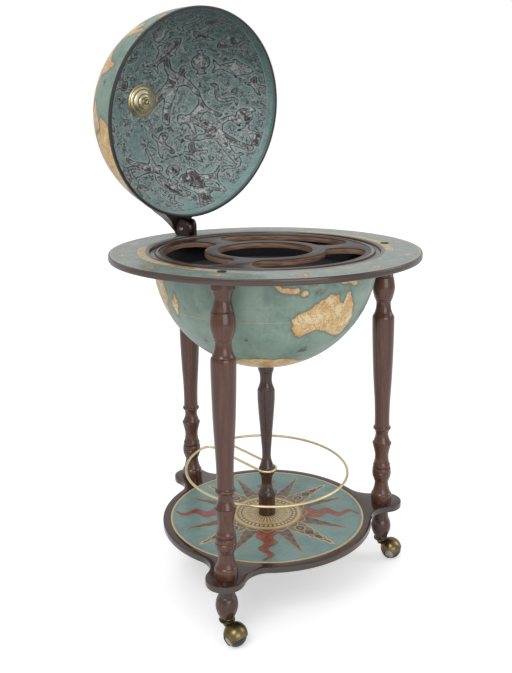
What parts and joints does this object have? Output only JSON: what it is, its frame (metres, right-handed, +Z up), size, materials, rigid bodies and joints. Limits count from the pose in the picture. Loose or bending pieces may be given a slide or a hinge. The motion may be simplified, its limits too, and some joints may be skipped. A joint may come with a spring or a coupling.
{
  "type": "floor globe bar",
  "caption": "Terrestrial globe drinks cabinet on three turned legs with a hinged lid, a cut-out bottle tray, a lower shelf with wire rail and swivel casters.",
  "frame": {"origin": "on the floor, under the middle of the overall box", "axes": "+Z up; +Y from the globe axis towards the lid hinge; +X to the right seen from the front"},
  "size_m": [0.554, 0.6611, 1.0501],
  "materials": {
    "dark_walnut": "satin lacquer",
    "ring_wood": "printed and lacquered",
    "tray_wood": "satin lacquer",
    "shelf_print": "printed and lacquered",
    "globe_print": "printed, semi-matt",
    "flock": "flocked",
    "antique_brass": "antique",
    "gold_inlay": "satin",
    "steel": "satin",
    "tyre": "matt"
  },
  "bodies": {
    "stand": {"horizon_ring": "ring_wood", "seat_collar": "dark_walnut", "bowl_shell": "globe_print", "well_hoop": "tray_wood", "well_floor": "flock", "tray_plate": "tray_wood", "tray_bead": "tray_wood", "hinge_clevis": "antique_brass", "hinge_pin": "antique_brass", "hinge_pin_nut": "antique_brass", "leg_front_left": "dark_walnut", "leg_front_right": "dark_walnut", "leg_back": "dark_walnut", "leg_bolt_front_left": "antique_brass", "leg_bolt_front_right": "antique_brass", "leg_bolt_back": "antique_brass", "shelf_board": "dark_walnut", "shelf_panel": "shelf_print", "shelf_gold_line": "gold_inlay", "centre_post": "dark_walnut", "post_screw_low": "antique_brass", "post_screw_high": "antique_brass", "wire_rail": "gold_inlay", "foot_front_left": "dark_walnut", "foot_front_right": "dark_walnut", "foot_back": "dark_walnut", "foot_rod_front_left": "steel", "foot_rod_front_right": "steel", "foot_rod_back": "steel", "caster_socket_front_left": "antique_brass", "caster_socket_front_right": "antique_brass", "caster_socket_back": "antique_brass"},
    "lid": {"lid_shell": "globe_print", "lid_rim_band": "antique_brass", "lid_rosette": "antique_brass", "rosette_nut": "antique_brass", "pole_stud": "antique_brass", "pole_cap": "antique_brass", "hinge_arm": "antique_brass", "arm_screw_low": "antique_brass", "arm_screw_high": "antique_brass"},
    "swivel_front_left": {"caster_stem_front_left": "antique_brass", "caster_hood_front_left": "antique_brass", "caster_axle_front_left": "steel"},
    "wheel_front_left": {"caster_wheel_front_left": "tyre", "caster_hub_front_left": "steel"},
    "swivel_front_right": {"caster_stem_front_right": "antique_brass", "caster_hood_front_right": "antique_brass", "caster_axle_front_right": "steel"},
    "wheel_front_right": {"caster_wheel_front_right": "tyre", "caster_hub_front_right": "steel"},
    "swivel_back": {"caster_stem_back": "antique_brass", "caster_hood_back": "antique_brass", "caster_axle_back": "steel"},
    "wheel_back": {"caster_wheel_back": "tyre", "caster_hub_back": "steel"}
  },
  "joints": [
    {"name": "lid_hinge", "type": "hinge", "parent": "stand", "child": "lid", "pos_m": [0, 0.17487, 0.6268], "axis": [1, 0, 0], "range_deg": [0, 81.7]},
    {"name": "swivel_turn_front_left", "type": "hinge", "parent": "stand", "child": "swivel_front_left", "pos_m": [-0.19538, -0.16613, 0.04], "axis": [0, 0, 1], "continuous": true},
    {"name": "wheel_spin_front_left", "type": "hinge", "parent": "swivel_front_left", "child": "wheel_front_left", "pos_m": [-0.19538, -0.18693, 0.0186], "axis": [-0.9397, 0, -0.342], "continuous": true},
    {"name": "swivel_turn_front_right", "type": "hinge", "parent": "stand", "child": "swivel_front_right", "pos_m": [0.19538, -0.16613, 0.04], "axis": [0, 0, 1], "continuous": true},
    {"name": "wheel_spin_front_right", "type": "hinge", "parent": "swivel_front_right", "child": "wheel_front_right", "pos_m": [0.20417, -0.18498, 0.0186], "axis": [-0.8517, -0.3971, -0.342], "continuous": true},
    {"name": "swivel_turn_back", "type": "hinge", "parent": "stand", "child": "swivel_back", "pos_m": [0, 0.17227, 0.04], "axis": [0, 0, 1], "continuous": true},
    {"name": "wheel_spin_back", "type": "hinge", "parent": "swivel_back", "child": "wheel_back", "pos_m": [0.00538, 0.15218, 0.0186], "axis": [-0.9077, -0.2432, -0.342], "continuous": true}
  ]
}
